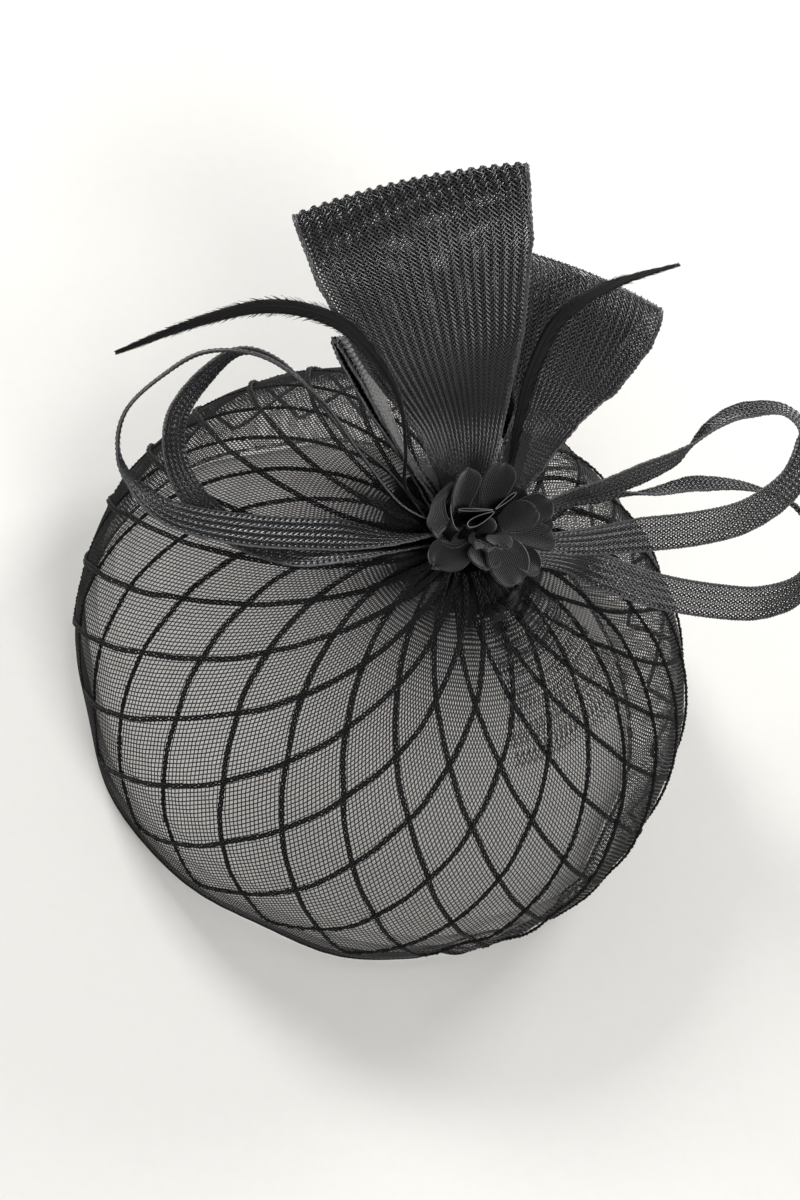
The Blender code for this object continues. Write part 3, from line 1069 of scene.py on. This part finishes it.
@dataclass
class HubBinding:
    """The satin ribbon that is wound round the necks of the loops."""

    radius: float = 8.6
    foot: float = 119.6
    top: float = 130.9
    turns: int = 5

    WALL = 0.3
    # How far out and how far up, as a share of a turn, the points of each turn lie.
    LAP = ((0.0, 0.0), (0.3, 0.15), (0.3, 0.8), (0.1, 0.98))

    def build(self, bench: Bench) -> None:
        """Winds the ribbon as rings that lap over each other."""
        height = (self.top - self.foot) / self.turns
        profile = [(0.0, self.foot)]
        for turn in range(self.turns):
            low = self.foot + turn * height
            for out, up in self.LAP:
                profile.append((self.radius + out - self.WALL, low + up * height))
        profile.append((0.0, self.top))
        bench.set_down("hub_binding", turned("binding", profile, 48), SATIN, ["binding"], smooth=False)


@dataclass
class BaseDisc:
    """The felt disc under the net, with a rounded cut edge."""

    surface: NetSurface
    centre: tuple[float, float] = (5.0, 8.0)
    radius: float = 33.0
    wall: float = 2.5
    gap: float = 1.0

    RINGS = 12
    SIDES = 72
    EDGE_OUT = 0.35
    EDGE_ROUND = 0.6

    def crown(self, radius: float) -> float:
        """Height of the smooth net over a radius."""
        share = min(1.0, radius / self.surface.radius) ** self.surface.power
        return self.surface.widest_z + self.surface.crown_rise * (1 - share) ** (1 / self.surface.power)

    def build(self, bench: Bench) -> None:
        """Turns the disc and bends it under the net."""
        rings = [(self.radius * i / self.RINGS, 0.0) for i in range(self.RINGS + 1)]
        outer = self.radius + self.EDGE_OUT
        edge = [(outer, -self.EDGE_ROUND), (outer, -self.wall + self.EDGE_ROUND)]
        under = [(r, -self.wall) for r, _ in reversed(rings)]
        mesh = turned("base", rings[:-1] + [(self.radius - 0.4, 0.0)] + edge + under, self.SIDES)
        for vert in mesh.vertices:
            vert.co.x += self.centre[0]
            vert.co.y += self.centre[1]
            vert.co.z += self.crown(math.hypot(vert.co.x, vert.co.y)) - self.gap
        felt = bench.set_down("felt_base", mesh, WOOL_FELT, ["base_disc"])


@dataclass
class Feather:
    """A thin curved feather: a tapered quill with a row of barbs on each side."""

    name: str
    rows: Rows
    reference: Triple
    barb_spacing: float = 0.55
    sweep: float = 7.0
    width: float = 7.0
    quill: float = 0.75
    barb: float = 0.22

    BARE = 0.1  # share of the quill without barbs
    QUILL_STEPS = 70
    VANE_GRID = (90, 4)
    VANE_REACH = 0.89
    VANE_NARROW = 0.8
    VANE_WALL = 0.15
    BARB_POINTS = 6

    def build(self, bench: Bench) -> None:
        """Makes the quill, the vane and the barbs."""
        band = Band(self.rows, self.reference, spacing=0.8)
        rng = np.random.default_rng(len(self.rows))
        run = np.linspace(0, band.length, self.QUILL_STEPS)
        quill = lay_threads(
            self.name, [band.at(run, np.zeros(self.QUILL_STEPS), 0.1)], self.quill, Section.OCTAGON,
            [np.interp(run / band.length, [0, 0.15, 1], [1.0, 0.9, 0.2])],
        )
        barbs, tapers = [], []
        for start in np.arange(self.BARE * band.length, band.length - 2.0, self.barb_spacing):
            for side in (-1, 1):
                reach = self.sweep * (0.85 + 0.3 * rng.random())
                share = np.linspace(0, 1, self.BARB_POINTS)
                across = side * share ** 0.85 * (0.5 + 0.06 * rng.standard_normal())
                lift = 0.25 * rng.standard_normal() * share
                barbs.append(band.at(np.minimum(start + reach * share, band.length), across, lift))
                tapers.append(1.0 - 0.75 * share)

        def on_vane(share: float, across: float) -> Vector:
            """A point of the vane behind the barbs."""
            ahead = np.array([band.length * (self.BARE + self.VANE_REACH * share)])
            return Vector(band.at(ahead, np.array([across * self.VANE_NARROW]), 0.0)[0])

        vane = cloth_grid(*self.VANE_GRID, (band.length, self.width), on_vane, self.VANE_WALL)
        bench.set_down(self.name + "_vane", vane, FEATHER, [self.name])
        bench.set_down(self.name + "_quill", quill, FEATHER)
        bench.set_down(
            self.name + "_barbs", lay_threads(self.name, barbs, self.barb, Section.TRIANGLE, tapers), FEATHER
        )


@dataclass
class Studio:
    """Pale floor, soft lights and the camera at the photograph's angle."""

    azimuth: float = -28.0
    elevation: float = 55.1
    roll: float = 34.0
    lens: float = 63.0
    distance: float = 871.5
    aim: Triple = (0.0, 0.0, 37.0)
    offset: tuple[float, float] = (-4.4, -19.3)

    # In metres: name, place, size and watts of each light, what they look at, and half the floor's side.
    LIGHTS = (
        ("key", (-0.75, 0.75, 0.95), 0.4, 14.0),
        ("fill", (0.3, -1.1, 1.2), 0.7, 17.0),
        ("back", (0.8, 0.9, 0.7), 0.5, 10.0),
    )
    LIT = Vector((0, 0, 0.08))
    FLOOR = 20.0
    SKY = 0.32
    SENSOR = 36.0
    CLIP = (0.05, 20.0)

    def camera(self, bench: Bench) -> None:
        """Stands the camera where the photograph was taken from."""
        around, up = math.radians(self.azimuth), math.radians(self.elevation)
        back = Vector((math.sin(around) * math.cos(up), -math.cos(around) * math.cos(up), math.sin(up)))
        level = Vector((0, 0, 1)).cross(back).normalized()
        upright = back.cross(level)
        roll = math.radians(self.roll)
        right = level * math.cos(roll) + upright * math.sin(roll)
        top = upright * math.cos(roll) - level * math.sin(roll)
        place = Vector(self.aim) + back * self.distance - right * self.offset[0] - top * self.offset[1]
        data = bpy.data.cameras.new("camera")
        data.lens, data.sensor_width = self.lens, self.SENSOR
        data.clip_start, data.clip_end = self.CLIP
        camera = link("camera", data)
        turn = Matrix((right, top, back)).transposed().to_4x4()
        camera.matrix_world = Matrix.Translation(bench.shift + place * MM) @ turn
        bpy.context.scene.camera = camera

    def light(self, name: str, place: Triple, size: float, power: float) -> None:
        """Hangs a square soft light that looks at the object."""
        data = bpy.data.lights.new(name, "AREA")
        data.shape, data.size, data.energy = "SQUARE", size, power
        lamp = link(name, data)
        lamp.location = place
        lamp.rotation_euler = (Vector(place) - self.LIT).to_track_quat("Z", "Y").to_euler()

    def build(self, bench: Bench) -> None:
        """Sets up the floor, the lights and the camera."""
        build = bmesh.new()
        bmesh.ops.create_grid(build, x_segments=1, y_segments=1, size=self.FLOOR)
        mesh = finished(build, "floor")
        mesh.materials.append(bench.material(PAPER))
        link("floor", mesh)
        for light in self.LIGHTS:
            self.light(*light)
        world = bpy.data.worlds.new("studio")
        world.use_nodes = True
        sky = world.node_tree.nodes["Background"]
        sky.inputs["Color"].default_value = (1, 1, 1, 1)
        sky.inputs["Strength"].default_value = self.SKY
        bpy.context.scene.world = world
        bpy.context.scene.view_settings.view_transform = "Standard"
        self.camera(bench)


WIDE_LOOPS = (
    WideLoop(
        "bow_front", 92, 18, (2, 32, 128), (-54, 81, 218), (0.87, 0.16, 0.46), 13, 85, 11.5, 13, 1.2,
        pitch=1.3, crown=3.5, rib=0.75,
    ),
    WideLoop(
        "bow_left", 136, 17, (-21, 28, 125), (-55.5, 69, 144), (0.34, 0.62, -0.71), 6.5, 62, 1.0, 2.0, 1.3,
        pitch=1.35, rib=0.3,
    ),
    WideLoop(
        "bow_right", 52, 17, (22, 40, 126), (34, 95, 178), (0.92, 0.17, -0.37), 8, 77, 8.5, 9.5, 1.2,
        pitch=1.3, crown=2.0,
    ),
)

# Routes as the CAD has them: rows of x, y, z, width and turn in degrees, turned a little further to the eye.
ROUTES = {
    "strip_left_outer": (
        (-10, 3, 128.5, 4.4, 0), (-27, 7.5, 130.5, 7, 0), (-47, 19, 142, 12, 0), (-66, 30, 154, 13, 0),
        (-88, 43, 155, 13, -6), (-109, 44, 150, 13, -6), (-123, 37, 139, 13, -8), (-133, 27, 127, 13, -8),
        (-133, 15, 118, 13, -4), (-125, 4, 114, 13, 16), (-109, -5, 113, 13, 46), (-81, -8, 117, 13, 60),
        (-48, -7, 124, 13, 60), (-28, -6, 127, 9, 30), (-10.4, -0.7, 128.4, 5, 0),
    ),
    "strip_left_inner": (
        (-10.1, 2.5, 123.7, 4.2, 0), (-29, 24, 125, 8, 0), (-48, 35, 128, 13, 0), (-64, 46, 135, 13, 0),
        (-79, 56, 138, 13, 0), (-94, 58, 136, 13, 4), (-105, 49, 127, 13, 20), (-112, 36, 118, 13, 28),
        (-110, 24, 109, 13, 33), (-101, 11, 104, 13, 42), (-86, -2, 106, 13, 54), (-62, -13, 117, 13, 60),
        (-37, -12, 125, 9, 30), (-10.1, -2.5, 123.8, 5, 0),
    ),
    "strip_right_upper": (
        (9.6, 3.9, 128.4, 5, 0), (36, 19, 136, 10, 8), (50, 24, 142, 13, 10), (65, 31, 148, 13, 4),
        (80, 40, 153, 13, 14), (91, 52, 160, 13, 50), (104, 60, 164, 13, 70), (120, 62, 167, 13, 64),
        (131, 53, 164, 13, 50), (127, 37, 155, 13, 30), (113, 25, 145, 13, 30), (94, 18, 139, 13, 34),
        (70, 12, 135, 13, 34), (43, 4.5, 132, 10, 24), (10.4, -0.7, 128.4, 5, 0),
    ),
    "strip_right_lower": (
        (9.8, 3.6, 123.8, 4, 0), (43, 28, 124, 8, 0), (58, 33, 125.5, 13, 20), (79, 38, 128, 13, 52),
        (99, 45, 131, 13, 70), (121, 47, 133, 13, 56), (141, 43, 132, 13, 36), (152, 30, 127, 13, 20),
        (147, 12, 122, 13, 20), (131, 3, 118.5, 13, 32), (112, 0, 117.5, 13, 38), (85, -1, 118, 13, 38),
        (60, 2, 119.5, 13, 34), (41, 0, 125, 8, 18), (10, -2.9, 123.8, 4.2, 0),
    ),
    "feather_left": (
        (-8.8, 4.8, 130.3, 2.2, 0), (-24.5, 13, 131.2, 2.4, 0), (-30.5, 20.5, 147, 3.2, 0),
        (-39, 30.5, 164, 5, 0), (-55, 38, 178.5, 6.5, 0), (-72, 45, 183, 6.8, 0), (-93, 50, 176, 6.5, 0),
        (-115, 49, 160, 4.5, 0), (-141, 43, 139, 1.5, 0),
    ),
    "feather_right": (
        (7.5, 6.8, 130.2, 2.2, 0), (15, 28, 135, 2.4, 0), (12, 39, 155, 5, 0), (10.5, 49.5, 173, 6.5, 0),
        (15, 63, 190, 6.5, 0), (31, 75, 200, 5.5, 0), (57, 87, 207, 1.5, 0),
    ),
}
NARROW_CRIN = {
    "full_width": 13.0, "columns": 4.5, "pitch": 1.1, "thread": 0.95, "swell": 0.36, "steps": 18,
    "selvedge": 0.6,
}
# The direction across each route's start, which the turns are measured from.
ROUTE_SIDES = {
    "strip_left_outer": (-0.27, -0.5, 0.82),
    "strip_left_inner": (-0.27, -0.5, 0.82),
    "strip_right_upper": (-0.33, 0.15, 0.93),
    "strip_right_lower": (-0.33, 0.15, 0.93),
    "feather_left": (-0.17, 0.86, 0.47),
    "feather_right": (0.95, 0.02, 0.32),
}
# Piece, CAD node, heading, foot, tilt, length and width.
PETALS = (
    Petal("petal_low_right", "petal_outer_1", -55, 139.2, -14, 20.5, 19, curl=-8),
    Petal("petal_low_right_under", "petal_outer_1", -28, 134.4, -2, 21.5, 12.5, curl=-6),
    Petal("petal_right_front", "petal_outer_2", 0, 136.8, 2, 24, 12.5, curl=-8),
    Petal("petal_right_back", "petal_outer_2", 27, 136.0, 14, 24, 12.5),
    Petal("petal_right_far", "petal_outer_2", 17, 132.2, 7, 24, 11),
    Petal("petal_back_right", "petal_outer_3", 54, 132.4, 12, 21, 12),
    Petal("petal_back", "petal_outer_3", 92, 132.6, 14, 18, 15),
    Petal("petal_back_left", "petal_outer_4", 132, 132.0, 16, 19, 17),
    Petal("petal_left_floor", "petal_outer_5", 184, 131.8, 4, 17, 17, cup=0.4),
    Petal("petal_front_left", "petal_outer_6", 224, 132.4, -8, 22.5, 15, curl=16, cup=2.4, ruffle=1.4),
    Petal("petal_front", "petal_outer_6", 268, 131.9, 12, 16, 13, curl=20, ruffle=0.6),
    Petal("petal_inner_right", "petal_inner_2", 16, 139.0, 26, 15.5, 13.5),
    Petal("petal_inner_low", "petal_inner_1", -70, 139.0, 24, 10.5, 10.5, curl=10, ruffle=0.8),
    Petal("petal_tall_right", "petal_inner_3", 95, 138.6, 52, 23, 12.5, curl=22, cup=2.2),
    Petal("petal_tall_left", "petal_inner_4", 112, 138.8, 56, 23, 11, curl=20, cup=2.6, aside=11.0),
)
# Piece, CAD node, first and last heading, low and top radius, foot, rise and curl at the ends.
FOLDS = (
    StandingFold("fold_left", "petal_outer_5", 126, 198, 22.0, 19.6, 133.0, 12.5, 4.0),
    StandingFold("fold_front", "fold_strip", 218, 292, 8.6, 12.0, 134.0, 9.5, 3.0, ruffle=0.7),
    StandingFold(
        "satin_lining", "", 156, 210, 16.6, 17.0, 133.8, 11.5, 2.0, ruffle=0.0, finish=SATIN, wall=0.28
    ),
)
SATIN_LOOPS = (
    SatinLoop("satin_loop_left", "satin_knot", 192, 14.0, 1.6),
    SatinLoop("satin_loop_front", "", 219, 13.5, 4.6, lean=0.06),
    SatinLoop("satin_loop_right", "", 48, 12.5, 1.8),
)


def main() -> None:
    """Builds every piece around the frame."""
    logging.basicConfig(level=logging.INFO, format="%(name)s %(message)s")
    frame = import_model()
    bench = Bench.on_binding()
    Studio().build(bench)
    brim = NetBrim()
    brim.build(bench)
    BaseDisc(brim.surface).build(bench)
    HubBinding().build(bench)
    FlowerHeart().build(bench)
    for piece in (*PETALS, *FOLDS, *SATIN_LOOPS, *WIDE_LOOPS):
        piece.build(bench)
    for name, rows in ROUTES.items():
        if name.startswith("feather"):
            Feather(name, rows, ROUTE_SIDES[name]).build(bench)
        else:
            CrinRibbon(name, rows, ROUTE_SIDES[name], **NARROW_CRIN).build(bench)
    clip = frame["nodes"]["hair_clip"]
    clip.data.materials.clear()
    clip.data.materials.append(bench.material(LACQUER))


if __name__ == "__main__":
    main()
